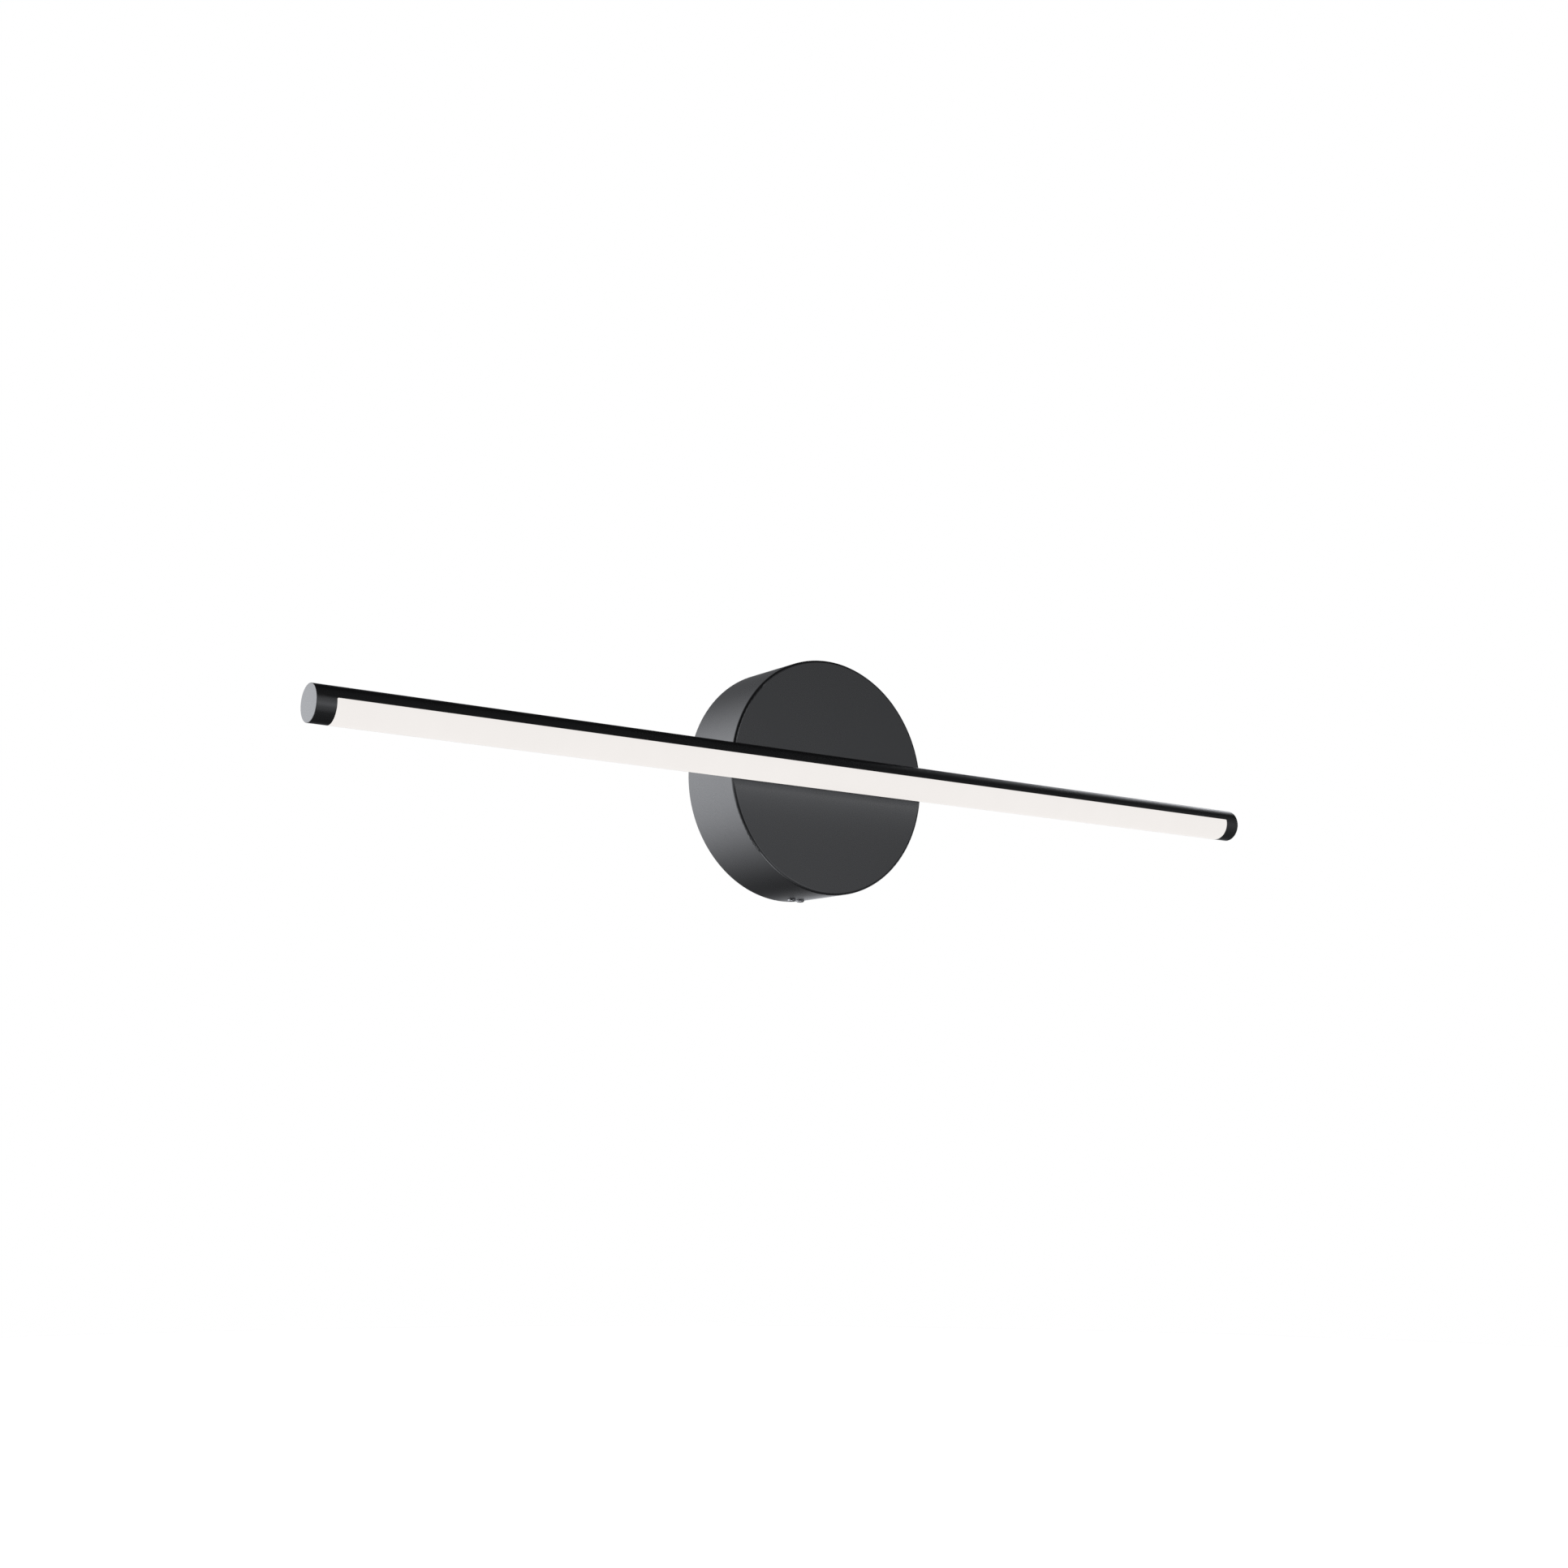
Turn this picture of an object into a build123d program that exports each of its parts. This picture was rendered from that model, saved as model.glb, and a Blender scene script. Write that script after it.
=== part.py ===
from build123d import *
import os
from math import cos, sin, radians

# Vanity light bar: a long round LED tube carried close in front of a round
# canopy that covers the wall's electrical box.
# Millimetres. Wall plane at Y = 0, the wall lies towards +Y, the room towards -Y.
# X runs along the bar, Z is up, and the origin is the centre of the canopy's
# rear face, which is also the centre of the wall plate's box-screw slots.

os.makedirs("parts", exist_ok=True)

# ---------------------------------------------------------------- dimensions
# canopy
CANOPY_R = 63.5          # 127 mm, the common 5 inch canopy
CANOPY_DEPTH = 41.0
CANOPY_WALL = 1.5
CANOPY_EDGE = 1.5        # front edge radius
SCREW_X = 2.9            # the two canopy screws, side by side under the rim
SCREW_Y = -10.9
SCREW_HEAD_R = 2.2
SCREW_HEAD_H = 1.1

# light bar
BAR_HALF = 300.0         # 600 mm over the end caps
TUBE_R = 9.1
TUBE_BORE_R = 7.7
CAP_T = 2.0              # end cap disc
WINDOW_HALF = 290.2      # leaves a 9.8 mm ring at each end
WINDOW_DEG = 120.0       # lens window, as an angle round the tube
WINDOW_AIM = -46.0       # middle of the window from straight ahead, + is up
WINDOW_CORNER = 0.7
BAR_GAP = 1.0            # tube to canopy face
BAR_Y = -(CANOPY_DEPTH + BAR_GAP + TUBE_R)

# tilt: + raises the aim
TILT_MIN = -30.0
TILT_MAX = 45.0
STEM_R = 3.0
STEM_BORE_R = 1.9
SLOT_R = STEM_R + 0.35   # half width of the slot in the tube
SHOE_R = TUBE_BORE_R - 0.08
SHOE_IN = 5.2            # flat inner face of the shoe, from the tube's axis
SHOE_HALF_X = 10.0
SHOE_HALF_Z = 3.6
SADDLE_R = 6.5
SADDLE_BED_R = TUBE_R + 0.08

# lens
LENS_HALF = WINDOW_HALF - 0.1
LENS_R = 9.05
LENS_IN_R = 7.2
LENS_DEG = WINDOW_DEG - 1.2
SKIRT_R = 7.6
SKIRT_IN_R = 6.4
SKIRT_FROM, SKIRT_TO = 56.0, 66.0

# LED engine, measured from the tube's axis towards the lens (u) and across (v)
CARRIER_HALF = 289.0
CARRIER_U0, CARRIER_U1 = 3.0, 4.2
CARRIER_V = 4.8
LEG_T = 1.0
LEG_FOOT = -5.9
TAPE_U = CARRIER_U1 + 0.15
BOARD_U = TAPE_U + 1.0
BOARD_V = 4.0
BOARD_HALF = 287.5
CHIP = (2.8, 3.5, 0.7)
CHIP_PITCH = 12.0
CHIP_COUNT = 48
WIRE_PASS_X = 45.0

# canopy interior
PLATE_R = 60.5
PLATE_T = 1.5
ENTRY_R = 11.0
SLOT_SPACING = 79.4      # slot centres: takes 69.85 and 88.9 mm box screws
SLOT_LENGTH = 14.5
SLOT_HALF_W = 2.3
DRIVER_X = 37.0
DRIVER_Z0, DRIVER_Z1 = 15.0, 45.0
DRIVER_Y0, DRIVER_Y1 = -24.0, -PLATE_T
DRIVER_WALL = 1.6
BLOCK_X0, BLOCK_X1 = -35.0, -9.0
BLOCK_Z0, BLOCK_Z1 = -40.0, -26.0
BLOCK_Y0 = -14.0
POLES = (-30.0, -22.0, -14.0)
LEAD_Y = -7.6            # height of the leads over the plate
LEAD_R = 0.9             # mains leads
OUT_R = 0.7              # low-voltage leads

# ------------------------------------------------------------ working planes
AIM = radians(180.0 - WINDOW_AIM)
U = Vector(0, cos(AIM), sin(AIM))
V = Vector(0, -sin(AIM), cos(AIM))
AXIS_POINT = Vector(0, BAR_Y, 0)
# cross-section of the bar: local x is u, local y is v, normal is +X
BAR = Plane(origin=AXIS_POINT, x_dir=U, z_dir=(1, 0, 0))
BAR_AXIS = Axis((0, BAR_Y, 0), (1, 0, 0))
# facing the wall: local x is X, local y is Z, normal is -Y
FRONT = Plane.XZ


def bar_point(x, u, v):
    return Vector(x, BAR_Y, 0) + U * u + V * v


def sector(r, half_deg, mid_deg=0.0):
    """Outline of a pie slice on the bar's section, for use inside a BuildLine."""
    a0, a1 = mid_deg - half_deg, mid_deg + half_deg
    p0 = (r * cos(radians(a0)), r * sin(radians(a0)))
    p1 = (r * cos(radians(a1)), r * sin(radians(a1)))
    pm = (r * cos(radians(mid_deg)), r * sin(radians(mid_deg)))
    return p0, pm, p1


def save(part, name):
    part.part.label = name
    export_step(part.part, "parts/" + name + ".step")


# ------------------------------------------------------------------- canopy
# Deep-drawn round drum, open at the back, with a flat face.
with BuildPart() as canopy_shell:
    with BuildSketch(Plane.XY):
        with BuildLine():
            Polyline(
                (0, -CANOPY_DEPTH),
                (CANOPY_R, -CANOPY_DEPTH),
                (CANOPY_R, 0),
                (CANOPY_R - CANOPY_WALL, 0),
                (CANOPY_R - CANOPY_WALL, -CANOPY_DEPTH + CANOPY_WALL),
                (0, -CANOPY_DEPTH + CANOPY_WALL),
                close=True,
            )
        make_face()
    revolve(axis=Axis.Y)
    rim = canopy_shell.edges().filter_by(GeomType.CIRCLE).filter_by(
        lambda e: abs(e.radius - CANOPY_R) < 0.01
        and abs(e.center().Y + CANOPY_DEPTH) < 0.01
    )
    fillet(rim, radius=CANOPY_EDGE)
    # stem and the saddle's two pegs
    with BuildSketch(FRONT.offset(CANOPY_DEPTH + 1)):
        Circle(STEM_R + 0.15)
        with Locations((-4.6, 0), (4.6, 0)):
            Circle(1.3)
    extrude(amount=-5, mode=Mode.SUBTRACT)
    # canopy screws, from below
    with BuildSketch(Plane.XY.offset(-CANOPY_R - 2)):
        with Locations((-SCREW_X, SCREW_Y), (SCREW_X, SCREW_Y)):
            Circle(1.7)
    extrude(amount=6, mode=Mode.SUBTRACT)
save(canopy_shell, "canopy_shell")

# Two small button-head screws that lock the canopy to the wall plate's tab.
with BuildPart() as canopy_screws:
    with BuildSketch(Plane.XY.offset(-CANOPY_R)):
        with Locations((-SCREW_X, SCREW_Y), (SCREW_X, SCREW_Y)):
            Circle(SCREW_HEAD_R)
    extrude(amount=-SCREW_HEAD_H)
    tops = canopy_screws.edges().filter_by(GeomType.CIRCLE).group_by(Axis.Z)[0]
    fillet(tops, radius=0.9)
    with BuildSketch(Plane.XY.offset(-CANOPY_R - SCREW_HEAD_H)):
        with Locations((-SCREW_X, SCREW_Y), (SCREW_X, SCREW_Y)):
            RegularPolygon(radius=0.95, side_count=6)
    extrude(amount=0.7, mode=Mode.SUBTRACT)
    with BuildSketch(Plane.XY.offset(-CANOPY_R)):
        with Locations((-SCREW_X, SCREW_Y), (SCREW_X, SCREW_Y)):
            Circle(1.5)
    extrude(amount=6.2)
save(canopy_screws, "canopy_screws")

# --------------------------------------------------------------- wall plate
# Flat steel disc on the wall with four tabs bent forward inside the canopy.
with BuildPart() as wall_plate:
    with BuildSketch(FRONT):
        Circle(PLATE_R)
    extrude(amount=PLATE_T)
    # bottom tab takes the canopy screws, the others centre the canopy
    with Locations((0, -8.0, -PLATE_R + 0.75)):
        Box(18, 16, 1.5)
    with Locations((0, -4.5, PLATE_R - 0.75)):
        Box(16, 9, 1.5)
    with Locations((-PLATE_R + 0.75, -4.5, 0), (PLATE_R - 0.75, -4.5, 0)):
        Box(1.5, 9, 14)
    # wire entry, box-screw slots, driver, terminal block and ground screw holes
    with BuildSketch(FRONT.offset(-1)):
        Circle(ENTRY_R)
        with Locations((-SLOT_SPACING / 2, 0), (SLOT_SPACING / 2, 0)):
            SlotOverall(SLOT_LENGTH, 2 * SLOT_HALF_W)
        with Locations((-41, 30), (41, 30), (-18, -33)):
            Circle(1.5)
        with Locations((0, -36)):
            Circle(2.0)
    extrude(amount=PLATE_T + 2, mode=Mode.SUBTRACT)
    with BuildSketch(Plane.XY.offset(-PLATE_R - 1)):
        with Locations((-SCREW_X, SCREW_Y), (SCREW_X, SCREW_Y)):
            Circle(1.5)
    extrude(amount=4, mode=Mode.SUBTRACT)
save(wall_plate, "wall_plate")

# ------------------------------------------------------- stem and its stack
with BuildPart() as stem:
    with BuildSketch(FRONT.offset(27.0)):
        Circle(STEM_R)
        Circle(STEM_BORE_R, mode=Mode.SUBTRACT)
    extrude(amount=-(BAR_Y + SHOE_IN) - 27.0)
save(stem, "stem")

FACE_IN = CANOPY_DEPTH - CANOPY_WALL
with BuildPart() as backing_washer:
    with BuildSketch(FRONT.offset(FACE_IN - 1.5)):
        Circle(15)
        Circle(STEM_R + 0.15, mode=Mode.SUBTRACT)
        with Locations((-4.6, 0), (4.6, 0)):
            Circle(1.3, mode=Mode.SUBTRACT)
    extrude(amount=1.5)
save(backing_washer, "backing_washer")

# Conical spring washer, flattened a little by the nut.
with BuildPart() as spring_washer:
    with BuildSketch(Plane.XY):
        with BuildLine():
            Polyline(
                (STEM_R + 0.15, -(FACE_IN - 1.5) + 0.7),
                (6.2, -(FACE_IN - 1.5)),
                (6.2, -(FACE_IN - 1.5) + 0.9),
                (STEM_R + 0.15, -(FACE_IN - 1.5) + 1.6),
                close=True,
            )
        make_face()
    revolve(axis=Axis.Y)
save(spring_washer, "spring_washer")

with BuildPart() as stem_nut:
    with BuildSketch(FRONT.offset(FACE_IN - 1.5 - 1.6 - 5.0)):
        RegularPolygon(radius=5.0, side_count=6, major_radius=False)
        Circle(STEM_R, mode=Mode.SUBTRACT)
    extrude(amount=5.0)
save(stem_nut, "stem_nut")

# Plastic bushing in the stem's rear mouth, keeps the leads off the metal edge.
with BuildPart() as stem_bushing:
    with BuildSketch(FRONT.offset(25.8)):
        Circle(3.6)
    extrude(amount=1.2)
    with BuildSketch(FRONT.offset(27.0)):
        Circle(STEM_BORE_R)
    extrude(amount=4.0)
    with BuildSketch(FRONT.offset(25.0)):
        Circle(1.62)
    extrude(amount=7.0, mode=Mode.SUBTRACT)
    lip = stem_bushing.edges().filter_by(GeomType.CIRCLE).sort_by(Axis.Y)[-1]
    fillet(lip, radius=0.5)
save(stem_bushing, "stem_bushing")

# Moulded saddle between canopy face and tube: the tube turns in its hollow bed.
with BuildPart() as saddle:
    with BuildSketch(FRONT.offset(CANOPY_DEPTH)):
        Circle(SADDLE_R)
    extrude(amount=7.0)
    with BuildSketch(BAR.offset(-12)):
        Circle(SADDLE_BED_R)
    extrude(amount=24, mode=Mode.SUBTRACT)
    with BuildSketch(FRONT.offset(CANOPY_DEPTH - 1.4)):
        with Locations((-4.6, 0), (4.6, 0)):
            Circle(1.2)
    extrude(amount=1.5)
    with BuildSketch(FRONT.offset(CANOPY_DEPTH - 3)):
        Circle(STEM_R + 0.1)
    extrude(amount=12, mode=Mode.SUBTRACT)
save(saddle, "saddle")

# Curved shoe inside the tube, screwed on the stem's end: it draws the tube
# against the saddle and lets it turn.
with BuildPart() as pivot_shoe:
    with BuildSketch(Plane.YZ.offset(-SHOE_HALF_X)):
        with Locations((BAR_Y, 0)):
            Circle(SHOE_R)
        with Locations((BAR_Y + SHOE_IN + 2.5, 0)):
            Rectangle(5.0, 2 * SHOE_HALF_Z, mode=Mode.INTERSECT)
    extrude(amount=2 * SHOE_HALF_X)
    with BuildSketch(FRONT.offset(-(BAR_Y + SHOE_IN) - 6)):
        Circle(STEM_R)
    extrude(amount=10, mode=Mode.SUBTRACT)
save(pivot_shoe, "pivot_shoe")

# ------------------------------------------------------------------ bar tube
with BuildPart() as bar_tube:
    with BuildSketch(BAR.offset(-(BAR_HALF - CAP_T))):
        Circle(TUBE_R)
        Circle(TUBE_BORE_R, mode=Mode.SUBTRACT)
    extrude(amount=2 * (BAR_HALF - CAP_T))
    # lens window
    with BuildSketch(BAR.offset(-WINDOW_HALF)):
        with BuildLine():
            w0, wm, w1 = sector(14.0, WINDOW_DEG / 2)
            Line((0, 0), w0)
            ThreePointArc(w0, wm, w1)
            Line(w1, (0, 0))
        make_face()
    extrude(amount=2 * WINDOW_HALF, mode=Mode.SUBTRACT)
    corners = bar_tube.edges().filter_by(GeomType.LINE).filter_by(
        lambda e: abs(abs(e.center().X) - WINDOW_HALF) < 0.01 and e.length < 2.0
    )
    fillet(corners, radius=WINDOW_CORNER)
    # slot that lets the tube turn round the stem, milled over the tilt's range
    for turn in (TILT_MIN, TILT_MAX):
        arm = radians(turn)
        with BuildSketch(
            Plane(origin=(0, BAR_Y, 0), x_dir=(1, 0, 0), z_dir=(0, cos(arm), sin(arm))).offset(6.5)
        ):
            Circle(SLOT_R)
        extrude(amount=4.0, mode=Mode.SUBTRACT)
    low = radians(TILT_MIN)
    with BuildSketch(
        Plane(origin=(0, BAR_Y, 0), x_dir=(1, 0, 0), z_dir=(0, -sin(low), cos(low)))
    ):
        with Locations((0, 8.5)):
            Rectangle(2 * SLOT_R, 4.0)
    revolve(axis=BAR_AXIS, revolution_arc=TILT_MAX - TILT_MIN, mode=Mode.SUBTRACT)
save(bar_tube, "bar_tube")

# ------------------------------------------------------------------ diffuser
# Opal lens: a flush arc with two skirts that snap behind the window's edges.
with BuildPart() as diffuser:
    with BuildSketch(BAR.offset(-LENS_HALF)):
        with BuildLine():
            a0, am, a1 = sector(LENS_R, LENS_DEG / 2)
            b0, bm, b1 = sector(LENS_IN_R, LENS_DEG / 2)
            ThreePointArc(a0, am, a1)
            Line(a1, b1)
            ThreePointArc(b1, bm, b0)
            Line(b0, a0)
        make_face()
    extrude(amount=2 * LENS_HALF)
    lens_corners = diffuser.edges().filter_by(GeomType.LINE).filter_by(
        lambda e: abs(abs(e.center().X) - LENS_HALF) < 0.01 and e.length < 2.5
    )
    fillet(lens_corners, radius=WINDOW_CORNER - 0.1)
    for side in (-1, 1):
        mid = side * (SKIRT_FROM + SKIRT_TO) / 2
        half = (SKIRT_TO - SKIRT_FROM) / 2
        with BuildSketch(BAR.offset(-LENS_HALF + 1.2)):
            with BuildLine():
                a0, am, a1 = sector(SKIRT_R, half, mid)
                b0, bm, b1 = sector(SKIRT_IN_R, half, mid)
                ThreePointArc(a0, am, a1)
                Line(a1, b1)
                ThreePointArc(b1, bm, b0)
                Line(b0, a0)
            make_face()
        extrude(amount=2 * (LENS_HALF - 1.2))
save(diffuser, "diffuser")

# ------------------------------------------------------------------ end caps
for name, side in (("end_cap_left", -1), ("end_cap_right", 1)):
    with BuildPart() as cap:
        with BuildSketch(BAR.offset(side * (BAR_HALF - CAP_T))):
            Circle(TUBE_R)
        extrude(amount=side * CAP_T)
        edge = cap.edges().filter_by(GeomType.CIRCLE).filter_by(
            lambda e: abs(abs(e.center().X) - BAR_HALF) < 0.01
        )
        fillet(edge, radius=0.25)
        with BuildSketch(BAR.offset(side * (BAR_HALF - CAP_T))):
            Circle(TUBE_BORE_R - 0.03)
            Circle(6.3, mode=Mode.SUBTRACT)
        extrude(amount=-side * 6.0)
    save(cap, name)

# ---------------------------------------------------------------- LED engine
with BuildPart() as led_carrier:
    with BuildSketch(BAR.offset(-CARRIER_HALF)):
        with Locations(((CARRIER_U0 + CARRIER_U1) / 2, 0)):
            Rectangle(CARRIER_U1 - CARRIER_U0, 2 * CARRIER_V)
        for side in (-1, 1):
            with Locations(((LEG_FOOT + CARRIER_U0 + 0.2) / 2, side * (CARRIER_V - LEG_T / 2))):
                Rectangle(CARRIER_U0 + 0.2 - LEG_FOOT, LEG_T)
    extrude(amount=2 * CARRIER_HALF)
    # legs cut away round the pivot
    with BuildSketch(BAR.offset(-14)):
        for side in (-1, 1):
            with Locations(((LEG_FOOT - 1 + CARRIER_U0) / 2, side * (CARRIER_V - LEG_T / 2))):
                Rectangle(CARRIER_U0 - LEG_FOOT + 1, LEG_T + 1.0)
    extrude(amount=28, mode=Mode.SUBTRACT)
    # lead pass-through
    with BuildSketch(Plane(origin=(WIRE_PASS_X, BAR_Y, 0), x_dir=(1, 0, 0), z_dir=U)):
        SlotOverall(3.6, 1.9, rotation=90)
    extrude(amount=8, mode=Mode.SUBTRACT)
save(led_carrier, "led_carrier")

# Plastic clips that centre the channel in the tube, under the lens skirts.
with BuildPart() as carrier_clips:
    for x0 in (-264, -124, 116, 256):
        with BuildSketch(BAR.offset(x0)):
            Circle(TUBE_BORE_R - 0.15)
            Rectangle(4.0, 20.0, mode=Mode.INTERSECT)
            Rectangle(8.0, 2 * CARRIER_V + 0.1, mode=Mode.SUBTRACT)
        extrude(amount=8)
save(carrier_clips, "carrier_clips")

with BuildPart() as thermal_tape:
    with BuildSketch(Plane(origin=AXIS_POINT + U * CARRIER_U1, x_dir=(1, 0, 0), z_dir=U)):
        Rectangle(2 * BOARD_HALF, 2 * BOARD_V)
        with Locations((WIRE_PASS_X, 0)):
            SlotOverall(3.6, 1.9, rotation=90, mode=Mode.SUBTRACT)
    extrude(amount=TAPE_U - CARRIER_U1)
save(thermal_tape, "thermal_tape")

with BuildPart() as led_board:
    with BuildSketch(Plane(origin=AXIS_POINT + U * TAPE_U, x_dir=(1, 0, 0), z_dir=U)):
        Rectangle(2 * BOARD_HALF, 2 * BOARD_V)
        with Locations((WIRE_PASS_X, 0)):
            SlotOverall(3.6, 1.9, rotation=90, mode=Mode.SUBTRACT)
    extrude(amount=BOARD_U - TAPE_U)
save(led_board, "led_board")

with BuildPart() as led_chips:
    with BuildSketch(Plane(origin=AXIS_POINT + U * BOARD_U, x_dir=(1, 0, 0), z_dir=U)):
        with GridLocations(CHIP_PITCH, 0, CHIP_COUNT, 1):
            Rectangle(CHIP[0], CHIP[1])
    extrude(amount=CHIP[2])
save(led_chips, "led_chips")

with BuildPart() as board_connector:
    with BuildSketch(Plane(origin=AXIS_POINT + U * BOARD_U, x_dir=(1, 0, 0), z_dir=U)):
        with Locations((49.4, 0)):
            Rectangle(6.0, 3.8)
    extrude(amount=1.5)
save(board_connector, "board_connector")


# ------------------------------------------------------------- leads in bar
def lead(points, radii, r):
    """Round insulated lead along straight runs joined by tangent arcs."""
    with BuildPart() as wire:
        with BuildLine():
            route = FilletPolyline(*points, radius=radii)
        with BuildSketch(Plane(origin=route @ 0, z_dir=route % 0)):
            Circle(r)
        sweep(path=route)
    length = route.length
    area = 3.141592653589793 * r * r
    print("lead length", round(length, 1), "radii", radii, "fill",
          round(wire.part.volume / (area * length), 4))
    return wire


for name, side in (("board_lead_positive", 1), ("board_lead_negative", -1)):
    # on the tube's axis at the pivot, then up through the carrier to the board
    u0 = side * 0.75 * U.Z
    v0 = side * 0.75 * V.Z
    v1 = 0.75 if v0 > 0 else -0.75
    wire = lead(
        [
            bar_point(22.6, u0, v0),
            bar_point(36.0, u0, v0),
            bar_point(WIRE_PASS_X, 0.4, v1),
            bar_point(WIRE_PASS_X, 6.1, v1),
            bar_point(46.4, 6.1, v1),
        ],
        [4.0, 2.2, 1.1],
        OUT_R,
    )
    save(wire, name)

# -------------------------------------------------------------------- driver
with BuildPart() as driver_case:
    cx, cz = 0, (DRIVER_Z0 + DRIVER_Z1) / 2
    cy = (DRIVER_Y0 + DRIVER_Y1) / 2
    with Locations((cx, cy, cz)):
        Box(2 * DRIVER_X, DRIVER_Y1 - DRIVER_Y0, DRIVER_Z1 - DRIVER_Z0)
    fillet(driver_case.edges().filter_by(Axis.Y), radius=2.0)
    # hollow, open to the front
    with Locations((cx, cy - DRIVER_WALL, cz)):
        Box(
            2 * (DRIVER_X - DRIVER_WALL),
            DRIVER_Y1 - DRIVER_Y0,
            DRIVER_Z1 - DRIVER_Z0 - 2 * DRIVER_WALL,
            mode=Mode.SUBTRACT,
        )
    # ears with screw holes
    for side in (-1, 1):
        with Locations((side * (DRIVER_X + 3.5), DRIVER_Y1 - 1.0, 30)):
            Box(8.0, 2.0, 9.0)
    with BuildSketch(FRONT.offset(PLATE_T - 1)):
        with Locations((-41, 30), (41, 30)):
            Circle(1.6)
    extrude(amount=4, mode=Mode.SUBTRACT)
    # board posts
    with BuildSketch(FRONT.offset(-DRIVER_Y1 + DRIVER_WALL)):
        with GridLocations(62, 18, 2, 2):
            with Locations((0, cz)):
                Circle(2.0)
    extrude(amount=1.9)
    # lead outlets: mains on the left, low voltage below
    with BuildSketch(Plane.YZ.offset(-DRIVER_X - 1)):
        with Locations((LEAD_Y, 20), (LEAD_Y, 25)):
            Circle(LEAD_R + 0.15)
    extrude(amount=4, mode=Mode.SUBTRACT)
    with BuildSketch(Plane.XY.offset(DRIVER_Z0 - 1)):
        with Locations((11, LEAD_Y), (15, LEAD_Y)):
            Circle(OUT_R + 0.15)
    extrude(amount=4, mode=Mode.SUBTRACT)
save(driver_case, "driver_case")

with BuildPart() as driver_lid:
    with Locations((0, DRIVER_Y0 - 0.8, cz)):
        Box(2 * DRIVER_X, 1.6, DRIVER_Z1 - DRIVER_Z0)
    fillet(driver_lid.edges().filter_by(Axis.Y), radius=2.0)
    with Locations((0, DRIVER_Y0 + 1.0, cz)):
        Box(2 * (DRIVER_X - DRIVER_WALL) - 0.3, 2.0, DRIVER_Z1 - DRIVER_Z0 - 2 * DRIVER_WALL - 0.3)
    with Locations((0, DRIVER_Y0 + 1.0, cz)):
        Box(
            2 * (DRIVER_X - DRIVER_WALL) - 3.3, 2.0,
            DRIVER_Z1 - DRIVER_Z0 - 2 * DRIVER_WALL - 3.3, mode=Mode.SUBTRACT,
        )
save(driver_lid, "driver_lid")

with BuildPart() as driver_board:
    with BuildSketch(FRONT.offset(-DRIVER_Y1 + DRIVER_WALL + 1.9)):
        with Locations((0, cz)):
            Rectangle(69, 25)
    extrude(amount=1.6)
save(driver_board, "driver_board")
BOARD_TOP = -DRIVER_Y1 + DRIVER_WALL + 1.9 + 1.6

with BuildPart() as driver_transformer:
    with BuildSketch(FRONT.offset(BOARD_TOP)):
        with Locations((2, cz + 1)):
            Rectangle(18, 14)
    extrude(amount=13)
    fillet(driver_transformer.edges().filter_by(Axis.Y), radius=1.0)
save(driver_transformer, "driver_transformer")

with BuildPart() as driver_capacitors:
    with BuildSketch(FRONT.offset(BOARD_TOP)):
        with Locations((-16, cz + 3)):
            Circle(5.0)
        with Locations((22, cz - 1)):
            Circle(4.0)
        with Locations((24, cz + 8)):
            Circle(3.0)
    extrude(amount=12)
save(driver_capacitors, "driver_capacitors")

with BuildPart() as driver_screws:
    with BuildSketch(FRONT.offset(PLATE_T + 2.0)):
        with Locations((-41, 30), (41, 30)):
            Circle(2.7)
    extrude(amount=1.8)
    fillet(driver_screws.edges().filter_by(GeomType.CIRCLE).group_by(Axis.Y)[0], radius=0.6)
    with BuildSketch(FRONT.offset(PLATE_T + 2.0)):
        with Locations((-41, 30), (41, 30)):
            Circle(1.5)
    extrude(amount=-(PLATE_T + 1.9))
save(driver_screws, "driver_screws")

# ------------------------------------------------------------ terminal block
with BuildPart() as terminal_block:
    with Locations(((BLOCK_X0 + BLOCK_X1) / 2, (BLOCK_Y0 - PLATE_T) / 2, (BLOCK_Z0 + BLOCK_Z1) / 2)):
        Box(BLOCK_X1 - BLOCK_X0, -PLATE_T - BLOCK_Y0, BLOCK_Z1 - BLOCK_Z0)
    fillet(terminal_block.edges().filter_by(Axis.Y), radius=1.0)
    # wire ways from below and above, one pair for each pole
    with BuildSketch(Plane.XY.offset(BLOCK_Z0 - 1)):
        with Locations(*[(x, LEAD_Y) for x in POLES]):
            Circle(1.6)
    extrude(amount=7, mode=Mode.SUBTRACT)
    with BuildSketch(Plane.XY.offset(BLOCK_Z1 + 1)):
        with Locations(*[(x, LEAD_Y) for x in POLES]):
            Circle(1.2)
    extrude(amount=-6, mode=Mode.SUBTRACT)
    # wells of the clamp screws and of the fixing screw
    with BuildSketch(FRONT.offset(-BLOCK_Y0)):
        with Locations(*[(x, -33) for x in POLES]):
            Circle(2.3)
    extrude(amount=-4.6, mode=Mode.SUBTRACT)
    with BuildSketch(FRONT.offset(-BLOCK_Y0)):
        with Locations((-18, -33)):
            Circle(1.6)
    extrude(amount=-13, mode=Mode.SUBTRACT)
save(terminal_block, "terminal_block")

with BuildPart() as terminal_screws:
    with BuildSketch(FRONT.offset(-BLOCK_Y0 - 4.6)):
        with Locations(*[(x, -33) for x in POLES]):
            Circle(2.1)
    extrude(amount=3.2)
    with BuildSketch(FRONT.offset(-BLOCK_Y0 - 1.4)):
        with Locations(*[(x, -33) for x in POLES]):
            Rectangle(3.2, 0.6)
    extrude(amount=-0.8, mode=Mode.SUBTRACT)
save(terminal_screws, "terminal_screws")

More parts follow.
